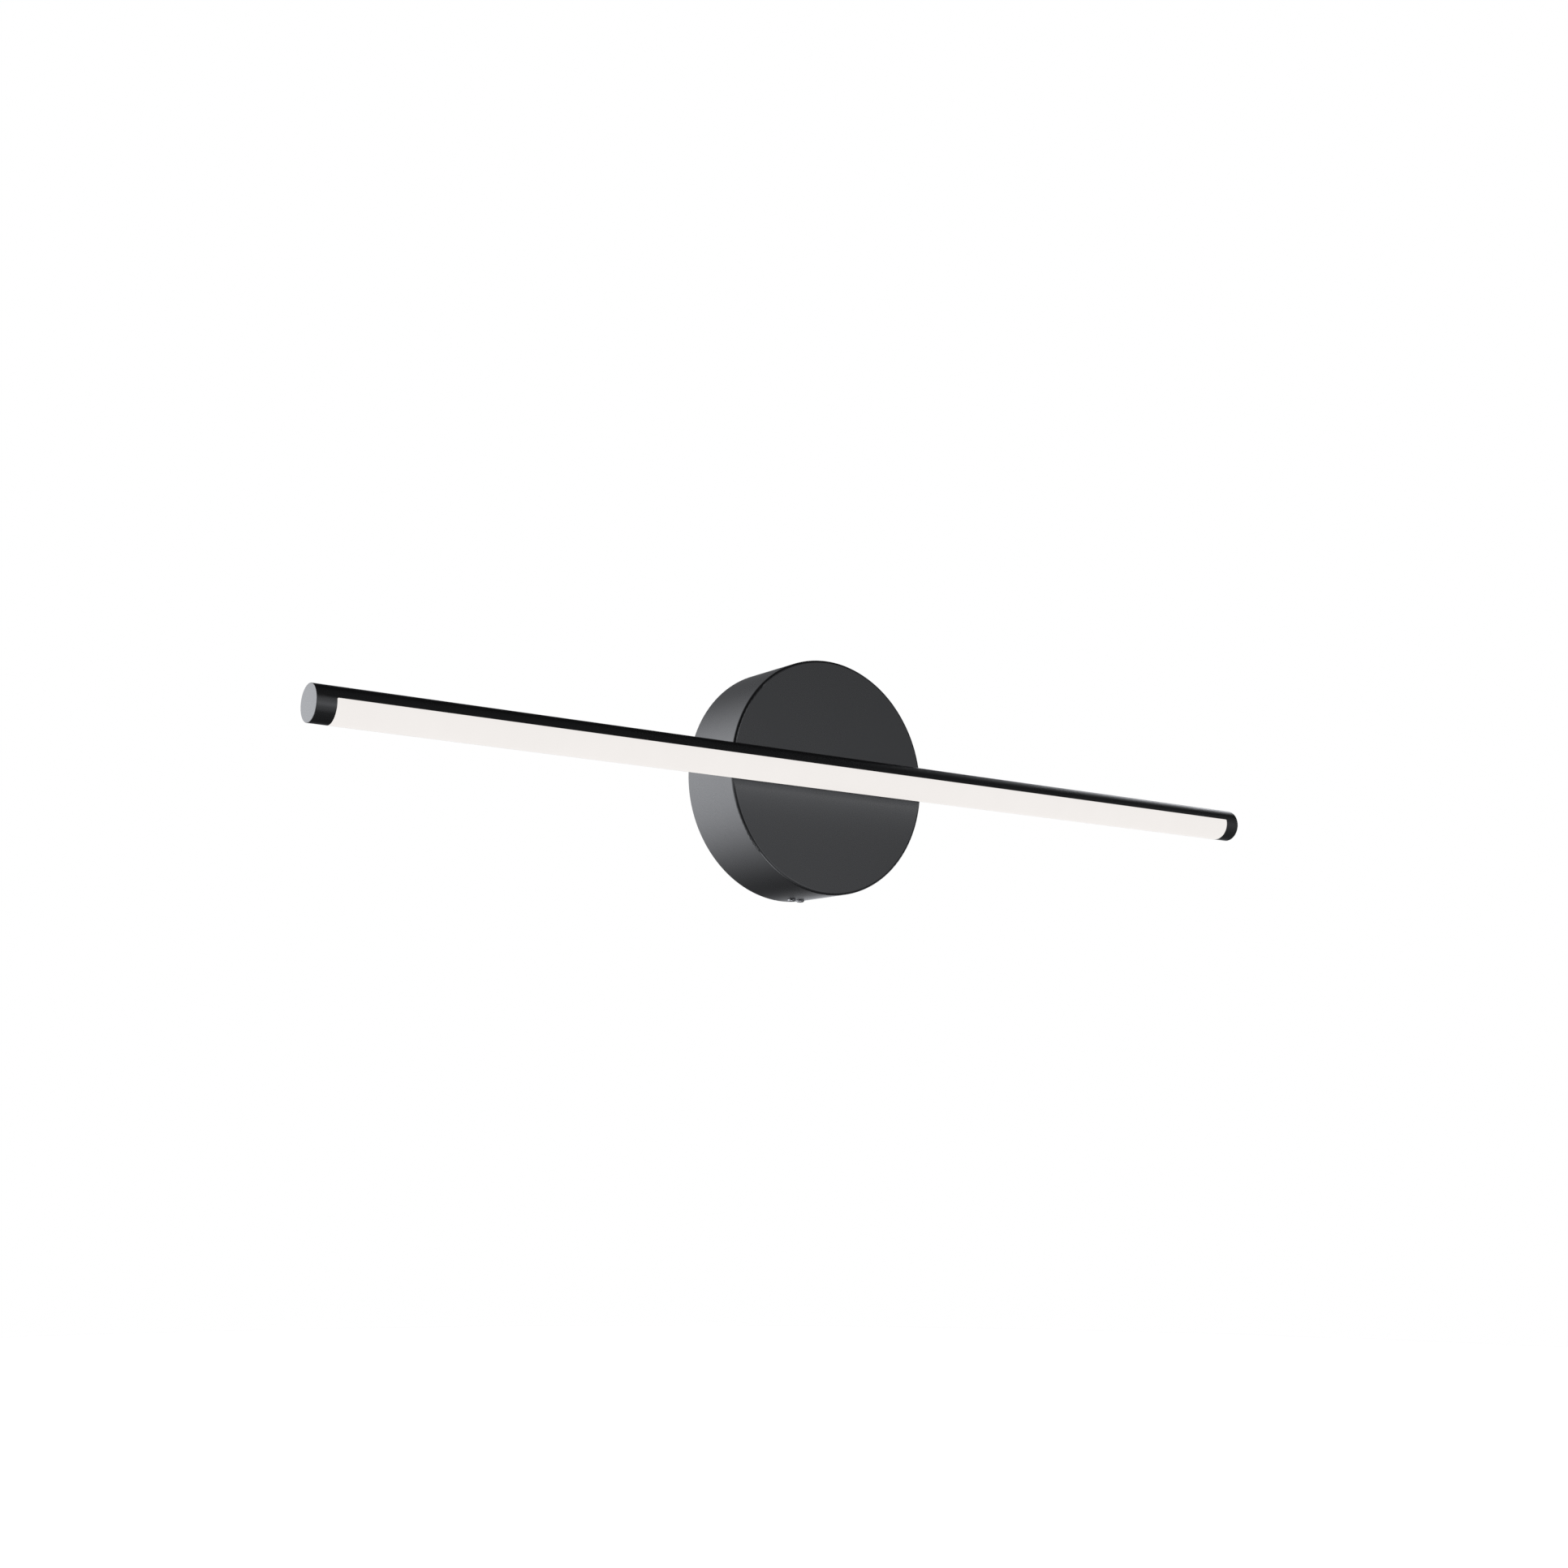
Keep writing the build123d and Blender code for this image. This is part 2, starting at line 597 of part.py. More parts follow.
with BuildPart() as terminal_fixing_screw:
    with BuildSketch(FRONT.offset(-BLOCK_Y0)):
        with Locations((-18, -33)):
            Circle(1.9)
    extrude(amount=1.2)
    with BuildSketch(FRONT.offset(0.1)):
        with Locations((-18, -33)):
            Circle(1.5)
    extrude(amount=-BLOCK_Y0 - 0.1)
save(terminal_fixing_screw, "terminal_fixing_screw")

# -------------------------------------------------------------------- ground
with BuildPart() as ring_terminal:
    with BuildSketch(FRONT.offset(PLATE_T)):
        with Locations((0, -36)):
            Circle(3.9)
        with Locations((0, -31)):
            Rectangle(2.4, 6.0)
        with Locations((0, -36)):
            Circle(2.05, mode=Mode.SUBTRACT)
    extrude(amount=0.6)
save(ring_terminal, "ring_terminal")

with BuildPart() as ground_screw:
    with BuildSketch(FRONT.offset(PLATE_T + 0.6)):
        with Locations((0, -36)):
            Circle(3.6)
    extrude(amount=2.2)
    with BuildSketch(FRONT.offset(PLATE_T + 2.8)):
        with Locations((0, -36)):
            Rectangle(8, 0.8)
    extrude(amount=-0.9, mode=Mode.SUBTRACT)
    with BuildSketch(FRONT.offset(PLATE_T + 0.6)):
        with Locations((0, -36)):
            Circle(2.0)
    extrude(amount=-(PLATE_T + 0.5))
save(ground_screw, "ground_screw")

ground_lead = lead(
    [(-14, LEAD_Y, -30.5), (-14, LEAD_Y, -17), (0, -5.0, -17), (0, -(PLATE_T + 0.6 + LEAD_R + 0.05), -30.5)],
    [4.0, 4.0],
    LEAD_R,
)
save(ground_lead, "ground_lead")

# --------------------------------------------------------------- mains leads
line_lead = lead(
    [(-31, LEAD_Y, 25), (-54, LEAD_Y, 25), (-54, LEAD_Y, -13), (-30, LEAD_Y, -19), (-30, LEAD_Y, -30.5)],
    [6.0, 6.0, 4.0],
    LEAD_R,
)
save(line_lead, "line_lead")

neutral_lead = lead(
    [(-31, LEAD_Y, 20), (-51, LEAD_Y, 20), (-51, LEAD_Y, -8), (-22, LEAD_Y, -15), (-22, LEAD_Y, -30.5)],
    [6.0, 6.0, 5.0],
    LEAD_R,
)
save(neutral_lead, "neutral_lead")

# --------------------------------------------------------- low-voltage leads
# From the driver through the stem, then along the tube's own axis, where the
# bar's tilt only twists them.
output_lead_positive = lead(
    [(11, LEAD_Y, 20), (11, LEAD_Y, 7), (0, -13.0, 0.75), (0, BAR_Y, 0.75), (22.0, BAR_Y, 0.75)],
    [4.0, 4.0, 2.8],
    OUT_R,
)
save(output_lead_positive, "output_lead_positive")

output_lead_negative = lead(
    [(15, LEAD_Y, 20), (15, LEAD_Y, 1), (0, -13.5, -0.75), (0, BAR_Y, -0.75), (22.0, BAR_Y, -0.75)],
    [5.0, 4.0, 2.8],
    OUT_R,
)
save(output_lead_negative, "output_lead_negative")
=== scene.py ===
"""Looks for the vanity light bar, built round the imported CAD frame.

Frame, in metres: X along the bar, +Y into the wall, Z up, origin at the centre of the
canopy's rear plane. The bar turns about the line y = -0.0511, z = 0. Nothing here changes a
CAD shape: every CAD node is shown, and gets a node-based material. Textures use each node's
own object coordinates, which are the frame's metres at rest, so they travel with the bar.
"""

import math

import bpy
from mathutils import Matrix, Vector


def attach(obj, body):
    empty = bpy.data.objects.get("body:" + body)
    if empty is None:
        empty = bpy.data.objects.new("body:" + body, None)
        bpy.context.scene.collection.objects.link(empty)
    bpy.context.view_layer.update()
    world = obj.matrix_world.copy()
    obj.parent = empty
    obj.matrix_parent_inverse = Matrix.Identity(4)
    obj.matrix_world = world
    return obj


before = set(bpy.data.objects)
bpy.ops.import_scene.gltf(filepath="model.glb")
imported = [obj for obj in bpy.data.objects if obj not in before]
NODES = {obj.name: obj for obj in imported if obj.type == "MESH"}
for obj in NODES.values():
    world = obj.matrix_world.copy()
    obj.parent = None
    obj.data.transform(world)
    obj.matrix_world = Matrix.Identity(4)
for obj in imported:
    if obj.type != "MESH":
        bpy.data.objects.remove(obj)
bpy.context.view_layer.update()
SCENE = bpy.context.scene
SCENE.view_settings.view_transform = "Standard"

AXIS_Y = -0.0511  # the bar's own axis, which is also the tilt joint's
BAR_HALF = 0.300


# ---------------------------------------------------------------- camera
def camera():
    """A 46.7 mm lens on a 36 mm square sensor, 1.12 m away, below the bar and to its left."""
    az, el, roll = math.radians(-36.00658), math.radians(-9.67407), math.radians(0.35799)
    back = Vector((math.sin(az) * math.cos(el), -math.cos(az) * math.cos(el), math.sin(el)))
    right0 = (-back).cross(Vector((0, 0, 1))).normalized()
    up0 = right0.cross(-back)
    right = math.cos(roll) * right0 + math.sin(roll) * up0
    up = -math.sin(roll) * right0 + math.cos(roll) * up0
    data = bpy.data.cameras.new("camera")
    data.sensor_width = 36.0
    data.lens = 46.7296
    data.clip_start, data.clip_end = 0.01, 60.0
    obj = bpy.data.objects.new("camera", data)
    SCENE.collection.objects.link(obj)
    m = Matrix((right, up, back)).transposed().to_4x4()
    m.translation = Vector((-0.650826, -0.894866, -0.186948))
    obj.matrix_world = m
    SCENE.camera = obj


camera()


# ---------------------------------------------------------------- light
# The studio is a set of soft lights round the object, far away. A lobe is (direction, width,
# strength): strength * exp(width * (cos(angle from direction) - 1)). A panel is a soft-edged
# box: (x from, x to, angle from, angle to, strength), where x is the direction's part along
# the bar and the angle is about the bar, 0 towards the wall and 90 straight up. The camera
# itself sees plain white.
LIGHT_TINT = (0.975, 0.995, 1.045)
LOBES = [
    ((-0.795, 0.408, -0.450), 10.0, 3.948),
    ((-0.300, -0.300, -0.906), 40.0, 8.000),
    ((0.097, -0.922, 0.375), 40.0, 3.580),
    ((-0.385, 0.919, 0.083), 10.0, 2.412),
    ((0.436, -0.894, -0.105), 40.0, 2.323),
    ((-0.795, 0.553, 0.250), 10.0, 1.766),
    ((0.087, -0.824, -0.559), 40.0, 1.556),
    ((0.668, 0.742, 0.052), 40.0, 1.180),
    ((0.930, 0.302, -0.208), 40.0, 1.179),
    ((0.582, -0.801, 0.139), 40.0, 0.787),
    ((-0.492, 0.700, 0.517), 10.0, 0.764),
    ((-0.668, 0.722, -0.183), 10.0, 0.695),
    ((-0.398, 0.679, -0.617), 10.0, 0.663),
    ((0.363, -0.745, -0.559), 40.0, 0.455),
    ((0.847, -0.377, 0.375), 40.0, 0.432),
    ((0.655, 0.727, -0.208), 40.0, 0.323),
    ((-0.361, 0.299, -0.883), 10.0, 0.290),
    ((0.676, -0.653, -0.342), 40.0, 0.276),
    ((0.273, -0.952, 0.139), 40.0, 0.272),
    ((0.412, -0.845, -0.342), 40.0, 0.210),
    ((0.356, 0.882, 0.309), 40.0, 0.196),
    ((0.687, -0.464, -0.559), 40.0, 0.175),
    ((0.055, -0.396, -0.917), 10.0, 0.169),
    ((0.035, -0.398, 0.917), 10.0, 0.130),
    ((0.776, -0.239, -0.583), 10.0, 0.111),
    ((0.824, -0.556, -0.105), 40.0, 0.098),
    ((0.667, -0.644, 0.375), 40.0, 0.090),
    ((0.487, -0.310, 0.817), 10.0, 0.067),
    ((0.526, 0.027, -0.850), 10.0, 0.066),
    ((0.712, -0.688, 0.139), 40.0, 0.049),
    ((0.314, 0.778, 0.545), 40.0, 0.047),
]
PANELS = [
    (0.635, 0.680, 8.0, 34.0, 2.627),
    (0.715, 0.800, 34.0, 60.0, 2.270),
    (0.680, 0.715, 34.0, 60.0, 1.886),
    (0.715, 0.800, 60.0, 84.0, 0.744),
    (0.680, 0.715, 60.0, 84.0, 0.631),
    (0.680, 0.715, 8.0, 34.0, 0.282),
]
AMBIENT = 0.0
EDGE_X, EDGE_TURN = 0.012, 0.02  # half-widths of a panel's soft edges


def studio():
    world = bpy.data.worlds.new("studio")
    SCENE.world = world
    world.use_nodes = True
    nt = world.node_tree
    nt.nodes.clear()
    out = nt.nodes.new("ShaderNodeOutputWorld")
    coord = nt.nodes.new("ShaderNodeTexCoord").outputs["Generated"]

    def math_node(op, a, b=None):
        n = nt.nodes.new("ShaderNodeMath")
        n.operation = op
        for i, v in enumerate((a, b)):
            if isinstance(v, (int, float)):
                n.inputs[i].default_value = v
            elif v is not None:
                nt.links.new(v, n.inputs[i])
        return n.outputs[0]

    def along(vector):
        n = nt.nodes.new("ShaderNodeVectorMath")
        n.operation = "DOT_PRODUCT"
        n.inputs[1].default_value = vector
        nt.links.new(coord, n.inputs[0])
        return n.outputs["Value"]

    def step(value, low, high):
        n = nt.nodes.new("ShaderNodeMapRange")
        n.interpolation_type = "SMOOTHSTEP"
        n.inputs["From Min"].default_value = low
        n.inputs["From Max"].default_value = high
        nt.links.new(value, n.inputs["Value"])
        return n.outputs["Result"]

    total = None
    for direction, width, strength in LOBES:
        d = Vector(direction).normalized() * width
        lobe = math_node("EXPONENT", math_node("ADD", along(d), math.log(strength) - width))
        total = math_node("ADD", lobe, AMBIENT if total is None else total)
    x = along((1, 0, 0))
    mirror = math_node("MULTIPLY", x, -1.0)
    for x_low, x_high, turn_low, turn_high, strength in PANELS:
        p, q = math.radians(turn_low), math.radians(turn_high)
        across = math_node(
            "MULTIPLY", step(x, x_low - EDGE_X, x_low + EDGE_X), step(mirror, -x_high - EDGE_X, -x_high + EDGE_X)
        )
        about = math_node(
            "MULTIPLY",
            step(along((0, -math.sin(p), math.cos(p))), -EDGE_TURN, EDGE_TURN),
            step(along((0, math.sin(q), -math.cos(q))), -EDGE_TURN, EDGE_TURN),
        )
        panel = math_node("MULTIPLY", math_node("MULTIPLY", across, about), strength)
        total = math_node("ADD", panel, total)
    soft = nt.nodes.new("ShaderNodeBackground")
    soft.inputs["Color"].default_value = (*LIGHT_TINT, 1)
    nt.links.new(total, soft.inputs["Strength"])
    backdrop = nt.nodes.new("ShaderNodeBackground")
    backdrop.inputs["Color"].default_value = (1, 1, 1, 1)
    backdrop.inputs["Strength"].default_value = 1.0
    path = nt.nodes.new("ShaderNodeLightPath")
    mix = nt.nodes.new("ShaderNodeMixShader")
    nt.links.new(path.outputs["Is Camera Ray"], mix.inputs["Fac"])
    nt.links.new(soft.outputs[0], mix.inputs[1])
    nt.links.new(backdrop.outputs[0], mix.inputs[2])
    nt.links.new(mix.outputs[0], out.inputs["Surface"])


# A lit lens throws far more light on the canopy than the exposure of its own surface shows, so
# strips just off its lower edge add the rest, as matt light only. Each is (angle round the bar
# from straight ahead, up positive; metres from the bar's axis; angle it faces; watts). They
# ride on the bar and are never seen themselves.
GLOW = [(-130.0, 0.010, -120.0, 0.083), (-98.0, 0.012, -90.0, 0.042)]
GLOW_LENGTH = 0.160


def lens_glow():
    for turn, reach, facing, watts in GLOW:
        t, f = math.radians(turn), math.radians(facing)
        place = Vector((0, -math.cos(t), math.sin(t))) * reach
        out = Vector((0, -math.cos(f), math.sin(f)))
        data = bpy.data.lights.new("lens_glow", "AREA")
        data.shape = "RECTANGLE"
        data.size, data.size_y = GLOW_LENGTH, 0.002
        data.energy = watts
        data.cycles.use_multiple_importance_sampling = False  # it leaves bright grain so close by
        obj = bpy.data.objects.new("lens_glow", data)
        SCENE.collection.objects.link(obj)
        x = Vector((1, 0, 0))
        m = Matrix((x, (-out).cross(x), -out)).transposed().to_4x4()
        m.translation = Vector((0, AXIS_Y, 0)) + place
        obj.matrix_world = m
        obj.visible_camera = False
        obj.visible_glossy = False
        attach(obj, "light_bar")


studio()
lens_glow()


# ---------------------------------------------------------------- material helpers
class Paint:
    """A Principled material and the few kinds of node that the materials here are made of."""

    def __init__(self, name, metallic=0.0, ior=1.5, coat=0.0, coat_roughness=0.1, specular=0.5):
        self.mat = bpy.data.materials.new(name)
        self.mat.use_nodes = True
        self.nt = self.mat.node_tree
        self.nt.nodes.clear()
        self.out = self.nt.nodes.new("ShaderNodeOutputMaterial")
        self.bsdf = self.nt.nodes.new("ShaderNodeBsdfPrincipled")
        self.nt.links.new(self.bsdf.outputs[0], self.out.inputs["Surface"])
        self.bsdf.inputs["Metallic"].default_value = metallic
        self.bsdf.inputs["IOR"].default_value = ior
        self.bsdf.inputs["Specular IOR Level"].default_value = specular
        self.bsdf.inputs["Coat Weight"].default_value = coat
        self.bsdf.inputs["Coat Roughness"].default_value = coat_roughness
        self.coord = self.nt.nodes.new("ShaderNodeTexCoord").outputs["Object"]

    def link(self, a, b):
        self.nt.links.new(a, b)

    def scaled(self, factors, turn=(0.0, 0.0, 0.0)):
        m = self.nt.nodes.new("ShaderNodeMapping")
        m.inputs["Scale"].default_value = factors
        m.inputs["Rotation"].default_value = turn
        self.link(self.coord, m.inputs["Vector"])
        return m.outputs[0]

    def noise(self, scale, detail=2.0, rough=0.5, distortion=0.0, vector=None):
        n = self.nt.nodes.new("ShaderNodeTexNoise")
        n.inputs["Scale"].default_value = scale
        n.inputs["Detail"].default_value = detail
        n.inputs["Roughness"].default_value = rough
        n.inputs["Distortion"].default_value = distortion
        self.link(vector or self.coord, n.inputs["Vector"])
        return n.outputs["Fac"]

    def cells(self, scale, feature="F1", vector=None, randomness=1.0, output="Distance"):
        n = self.nt.nodes.new("ShaderNodeTexVoronoi")
        n.feature = feature
        n.inputs["Scale"].default_value = scale
        n.inputs["Randomness"].default_value = randomness
        self.link(vector or self.coord, n.inputs["Vector"])
        return n.outputs[output]

    def waves(self, scale, direction="X", distortion=0.0, vector=None):
        n = self.nt.nodes.new("ShaderNodeTexWave")
        n.wave_type = "BANDS"
        n.bands_direction = direction
        n.inputs["Scale"].default_value = scale
        n.inputs["Distortion"].default_value = distortion
        self.link(vector or self.coord, n.inputs["Vector"])
        return n.outputs["Fac"]

    def ranged(self, value, low, high, from_low=0.0, from_high=1.0):
        n = self.nt.nodes.new("ShaderNodeMapRange")
        n.inputs["From Min"].default_value = from_low
        n.inputs["From Max"].default_value = from_high
        n.inputs["To Min"].default_value = low
        n.inputs["To Max"].default_value = high
        self.link(value, n.inputs["Value"])
        return n.outputs["Result"]

    def math(self, op, a, b=None, c=None):
        n = self.nt.nodes.new("ShaderNodeMath")
        n.operation = op
        for i, v in enumerate((a, b, c)):
            if v is None:
                continue
            if isinstance(v, (int, float)):
                n.inputs[i].default_value = v
            else:
                self.link(v, n.inputs[i])
        return n.outputs[0]

    def colours(self, value, low, high, from_low=0.35, from_high=0.65):
        n = self.nt.nodes.new("ShaderNodeValToRGB")
        n.color_ramp.elements[0].position = from_low
        n.color_ramp.elements[0].color = (*low, 1)
        n.color_ramp.elements[1].position = from_high
        n.color_ramp.elements[1].color = (*high, 1)
        self.link(value, n.inputs["Fac"])
        return n.outputs["Color"]

    def mixed(self, factor, a, b):
        n = self.nt.nodes.new("ShaderNodeMix")
        n.data_type = "RGBA"
        self.link(factor, n.inputs["Factor"])
        for socket, v in ((n.inputs[6], a), (n.inputs[7], b)):
            if isinstance(v, tuple):
                socket.default_value = (*v, 1)
            else:
                self.link(v, socket)
        return n.outputs[2]

    def bump(self, height, distance, strength=1.0, under=None):
        n = self.nt.nodes.new("ShaderNodeBump")
        n.inputs["Strength"].default_value = strength
        n.inputs["Distance"].default_value = distance
        self.link(height, n.inputs["Height"])
        if under is not None:
            self.link(under, n.inputs["Normal"])
        self.link(n.outputs[0], self.bsdf.inputs["Normal"])
        return n.outputs[0]

    def base(self, v):
        if isinstance(v, tuple):
            self.bsdf.inputs["Base Color"].default_value = (*v, 1)
        else:
            self.link(v, self.bsdf.inputs["Base Color"])

    def roughness(self, v):
        if isinstance(v, (int, float)):
            self.bsdf.inputs["Roughness"].default_value = v
        else:
            self.link(v, self.bsdf.inputs["Roughness"])

    def split(self):
        n = self.nt.nodes.new("ShaderNodeSeparateXYZ")
        self.link(self.coord, n.inputs[0])
        return n.outputs


# ---------------------------------------------------------------- finishes that show
PAINT_LOW, PAINT_HIGH = (0.0040, 0.0041, 0.0043), (0.0043, 0.0044, 0.0047)
PAINT_ROUGH = 0.28


def black_powder_coat(name, rough=PAINT_ROUGH, spread=0.02):
    """Fine satin black powder coat: nearly level, with a slight orange peel about 1 mm across."""
    p = Paint(name)
    cloud = p.noise(22.0, 3.0, 0.55)
    speck = p.noise(2600.0, 1.0, 0.5)
    p.base(p.colours(cloud, PAINT_LOW, PAINT_HIGH, 0.38, 0.62))
    broad = p.ranged(cloud, rough - spread, rough + spread, 0.3, 0.7)
    p.roughness(p.math("ADD", broad, p.ranged(speck, -spread / 2, spread / 2, 0.3, 0.7)))
    peel = p.noise(900.0, 2.0, 0.45)
    p.bump(peel, 0.000006, 0.4)
    return p.mat


LENS_LIGHT = (0.836, 0.802, 0.777)


def opal_lens():
    """Lit opal polycarbonate: even, warm white, with a trace of the chips' pitch along it."""
    p = Paint("opal_lens_lit", ior=1.585, specular=0.15)
    x, y, z = p.split()
    grain = p.noise(1400.0, 2.0, 0.5)
    cloud = p.noise(30.0, 2.0, 0.5)
    p.base(p.colours(cloud, (0.056, 0.055, 0.053), (0.064, 0.063, 0.061)))
    p.roughness(p.ranged(grain, 0.46, 0.54, 0.3, 0.7))
    pitch = 0.5802 / 48.0
    beat = p.math("COSINE", p.math("MULTIPLY", x, 2.0 * math.pi / pitch))
    even = p.math("ADD", 1.0, p.math("MULTIPLY", beat, 0.0015))
    soft = p.ranged(cloud, 0.997, 1.003, 0.3, 0.7)
    level = p.math("MULTIPLY", even, soft)
    colour = p.nt.nodes.new("ShaderNodeMix")
    colour.data_type = "RGBA"
    colour.blend_type = "MULTIPLY"
    colour.inputs["Factor"].default_value = 1.0
    colour.inputs[6].default_value = (*LENS_LIGHT, 1)
    p.link(level, colour.inputs[7])
    p.link(colour.outputs[2], p.bsdf.inputs["Emission Color"])
    p.bsdf.inputs["Emission Strength"].default_value = 1.0
    p.bump(grain, 0.000006, 0.4)
    return p.mat


def black_nickel_screw():
    """Small button-head screws in black nickel: darker than zinc, with a soft shine."""
    p = Paint("black_nickel_screw", metallic=1.0)
    grain = p.noise(3000.0, 2.0, 0.5)
    cloud = p.noise(600.0, 2.0, 0.5)
    p.base(p.colours(cloud, (0.18, 0.18, 0.185), (0.22, 0.22, 0.225)))
    p.roughness(p.ranged(grain, 0.38, 0.46, 0.3, 0.7))
    p.bump(grain, 0.000004, 0.5)
    return p.mat


# ---------------------------------------------------------------- finishes inside and behind
def plated(name, low, high, rough_low, rough_high, grain_scale=160.0, brushed=None):
    """Plated or bare metal: cloudy plating, rolled grain if brushed, faint scratches."""
    p = Paint(name, metallic=1.0)
    vector = p.scaled(brushed) if brushed else None
    cloud = p.noise(grain_scale, 4.0, 0.6, 0.4, vector)
    fine = p.noise(2400.0, 2.0, 0.5)
    p.base(p.colours(cloud, low, high))
    p.roughness(p.ranged(cloud, rough_low, rough_high, 0.3, 0.7))
    under = p.bump(cloud, 0.00002, 0.35)
    p.bump(fine, 0.000004, 0.4, under)
    return p.mat


def moulded(name, low, high, rough_low=0.42, rough_high=0.55, grain_scale=1800.0, depth=0.000012, ior=1.5):
    """Moulded plastic with a fine spark-eroded grain."""
    p = Paint(name, ior=ior)
    cloud = p.noise(45.0, 2.0, 0.5)
    grain = p.cells(grain_scale, "SMOOTH_F1")
    p.base(p.colours(cloud, low, high))
    p.roughness(p.ranged(grain, rough_low, rough_high, 0.0, 0.8))
    p.bump(grain, depth, 0.6)
    return p.mat


def insulation(name, low, high):
    """PVC lead insulation: slightly glossy, drawn along its length, a little dusty."""
    p = Paint(name, ior=1.53)
    cloud = p.noise(140.0, 3.0, 0.5)
    fine = p.noise(1800.0, 1.0, 0.5)
    p.base(p.colours(cloud, low, high))
    p.roughness(p.ranged(cloud, 0.30, 0.42, 0.3, 0.7))
    p.bump(fine, 0.00001, 0.35)
    return p.mat


def board(name, low, high, weave_scale=620.0, rough=(0.28, 0.40)):
    """Solder mask over glass cloth: the weave shows faintly through it."""
    p = Paint(name, ior=1.55, coat=0.3, coat_roughness=0.18)
    a = p.waves(weave_scale, "X")
    b = p.waves(weave_scale, "Z")
    c = p.waves(weave_scale, "Y")
    weave = p.math("MULTIPLY", p.math("ADD", a, c), b)
    cloud = p.noise(90.0, 2.0, 0.5)
    p.base(p.colours(p.math("ADD", p.math("MULTIPLY", weave, 0.12), p.math("MULTIPLY", cloud, 0.88)), low, high))
    p.roughness(p.ranged(cloud, rough[0], rough[1], 0.3, 0.7))
    p.bump(weave, 0.000008, 0.4)
    return p.mat


def wound_tape(name, low, high):
    """Yellow polyester tape wound over the transformer, with the lap lines of its turns."""
    p = Paint(name, ior=1.6)
    laps = p.waves(55.0, "X", 0.6)
    cloud = p.noise(120.0, 3.0, 0.6)
    p.base(p.colours(p.math("ADD", p.math("MULTIPLY", laps, 0.35), p.math("MULTIPLY", cloud, 0.65)), low, high))
    p.roughness(p.ranged(cloud, 0.22, 0.36, 0.3, 0.7))
    p.bump(laps, 0.00004, 0.5)
    return p.mat


def phosphor(name):
    """LED chips: yellow phosphor gel, slightly domed and shiny."""
    p = Paint(name, ior=1.41, coat=0.4, coat_roughness=0.08)
    grain = p.noise(5200.0, 2.0, 0.5)
    p.base(p.colours(grain, (0.80, 0.62, 0.12), (0.88, 0.72, 0.20)))
    p.roughness(p.ranged(grain, 0.25, 0.38, 0.3, 0.7))
    p.bump(grain, 0.000008, 0.5)
    return p.mat


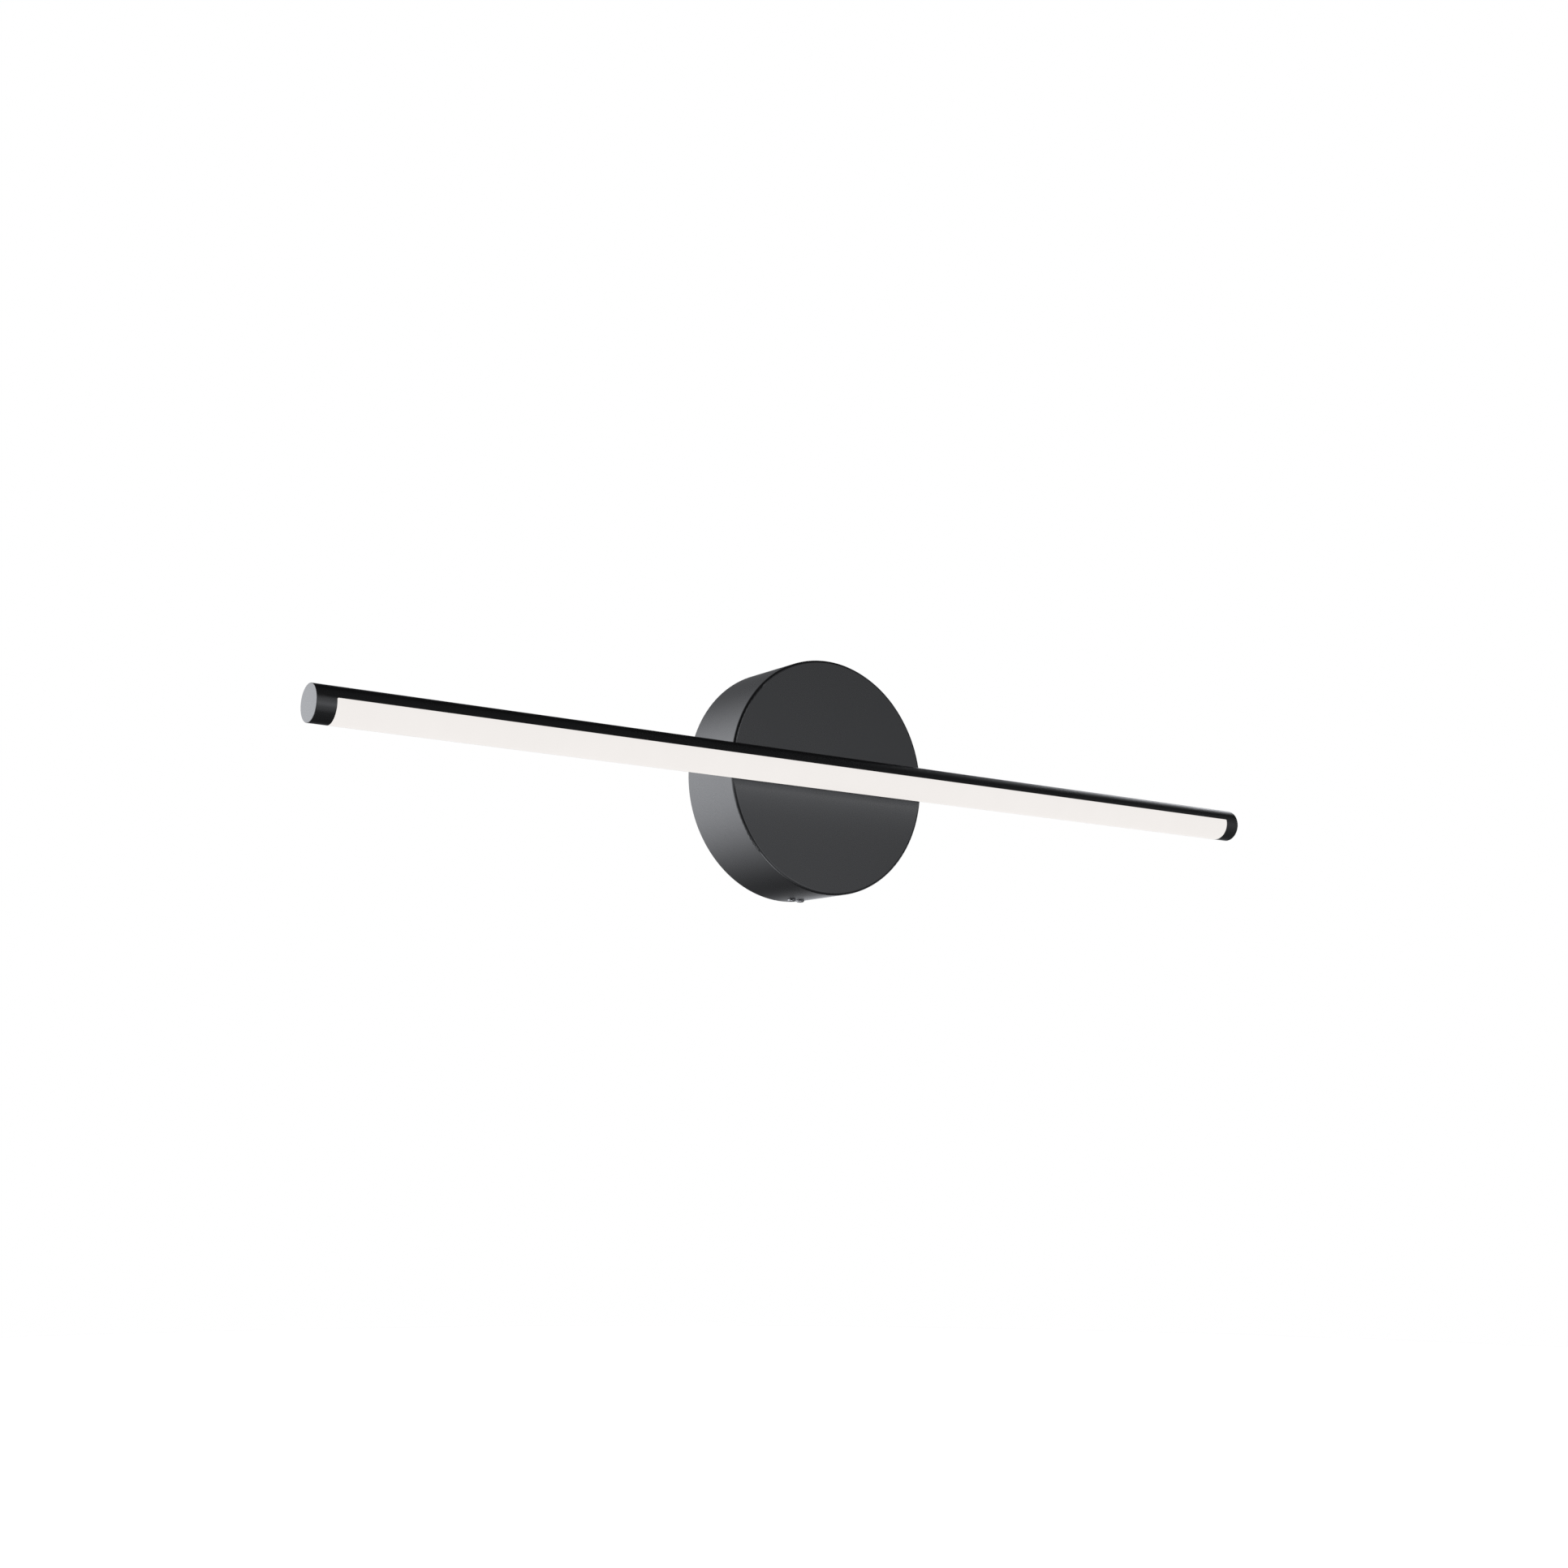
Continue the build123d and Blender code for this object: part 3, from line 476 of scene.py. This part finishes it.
FINISHES = {
    "black_paint": lambda: black_powder_coat("powder_coat_canopy"),
    "black_paint_bar": lambda: black_powder_coat("powder_coat_bar"),
    "end_cap": lambda: black_powder_coat("powder_coat_cap"),
    "opal_lens": opal_lens,
    "screw_steel": black_nickel_screw,
    "zinc_steel": lambda: plated("zinc_plate", (0.40, 0.42, 0.44), (0.50, 0.52, 0.54), 0.34, 0.50),
    "spring_steel": lambda: plated("spring_steel_blued", (0.20, 0.21, 0.24), (0.30, 0.31, 0.34), 0.25, 0.38),
    "black_plastic": lambda: moulded("bushing_plastic", (0.012, 0.012, 0.013), (0.020, 0.020, 0.022)),
    "black_nylon": lambda: moulded("saddle_nylon", (0.014, 0.014, 0.015), (0.024, 0.024, 0.026), 0.5, 0.62),
    "driver_plastic": lambda: moulded("driver_case_plastic", (0.62, 0.62, 0.60), (0.70, 0.70, 0.68)),
    "circuit_board": lambda: board("circuit_board_green", (0.012, 0.105, 0.045), (0.020, 0.150, 0.065)),
    "transformer_tape": lambda: wound_tape("transformer_tape_yellow", (0.62, 0.42, 0.03), (0.78, 0.56, 0.06)),
    "capacitor_sleeve": lambda: insulation("capacitor_sleeve_blue", (0.010, 0.016, 0.060), (0.016, 0.026, 0.090)),
    "white_plastic": lambda: moulded("white_nylon", (0.68, 0.68, 0.66), (0.76, 0.76, 0.74), 0.38, 0.5),
    "brass_screw": lambda: plated("brass_screw_turned", (0.66, 0.46, 0.17), (0.78, 0.57, 0.24), 0.20, 0.34, 420.0),
    "tinned_brass": lambda: plated("tinned_brass_plate", (0.56, 0.56, 0.54), (0.68, 0.68, 0.66), 0.22, 0.36, 300.0),
    "green_screw": lambda: plated("green_ground_screw", (0.02, 0.20, 0.06), (0.04, 0.30, 0.10), 0.24, 0.38, 500.0),
    "green_insulation": lambda: insulation("pvc_green", (0.010, 0.150, 0.035), (0.016, 0.200, 0.050)),
    "black_insulation": lambda: insulation("pvc_black", (0.010, 0.010, 0.011), (0.018, 0.018, 0.019)),
    "white_insulation": lambda: insulation("pvc_white", (0.66, 0.66, 0.64), (0.74, 0.74, 0.72)),
    "red_insulation": lambda: insulation("pvc_red", (0.36, 0.012, 0.010), (0.46, 0.020, 0.016)),
    "mill_aluminium": lambda: plated("extruded_aluminium", (0.70, 0.70, 0.71), (0.82, 0.82, 0.83), 0.28, 0.42, 1.0, (12.0, 900.0, 900.0)),
    "tape_grey": lambda: moulded("thermal_tape_grey", (0.30, 0.30, 0.31), (0.38, 0.38, 0.39), 0.6, 0.75, 900.0, 0.00003),
    "white_solder_mask": lambda: board("led_board_white", (0.74, 0.74, 0.73), (0.82, 0.82, 0.81)),
    "led_phosphor": lambda: phosphor("led_phosphor_gel"),
}


def repaint():
    made = {}
    for name, obj in NODES.items():
        for slot in obj.material_slots:
            key = slot.material.name.split(".")[0]
            if key not in made:
                made[key] = FINISHES[key]()
            slot.material = made[key]


repaint()


# ---------------------------------------------------------------- floor
def studio_floor():
    """A white studio floor, low enough that the bar hangs clear above it as it does on a wall."""
    import bmesh

    bm = bmesh.new()
    rings, spokes, radius, z = 12, 64, 5.0, -0.75
    centre = bm.verts.new((0, 0, z))
    last = None
    for i in range(1, rings + 1):
        r = radius * i / rings
        ring = [
            bm.verts.new((r * math.cos(2 * math.pi * k / spokes), r * math.sin(2 * math.pi * k / spokes), z))
            for k in range(spokes)
        ]
        for k in range(spokes):
            n = (k + 1) % spokes
            if last is None:
                bm.faces.new((centre, ring[k], ring[n]))
            else:
                bm.faces.new((last[k], ring[k], ring[n], last[n]))
        last = ring
    mesh = bpy.data.meshes.new("studio_floor")
    bm.to_mesh(mesh)
    bm.free()
    obj = bpy.data.objects.new("studio_floor", mesh)
    SCENE.collection.objects.link(obj)
    p = Paint("studio_floor_white")
    cloud = p.noise(3.0, 2.0, 0.5)
    p.base(p.colours(cloud, (0.80, 0.80, 0.80), (0.82, 0.82, 0.82)))
    p.roughness(0.9)
    p.bsdf.inputs["Emission Color"].default_value = (1, 1, 1, 1)
    p.bsdf.inputs["Emission Strength"].default_value = 1.0
    mesh.materials.append(p.mat)
    obj.visible_glossy = False
    obj.visible_diffuse = False
    obj.visible_shadow = False


studio_floor()
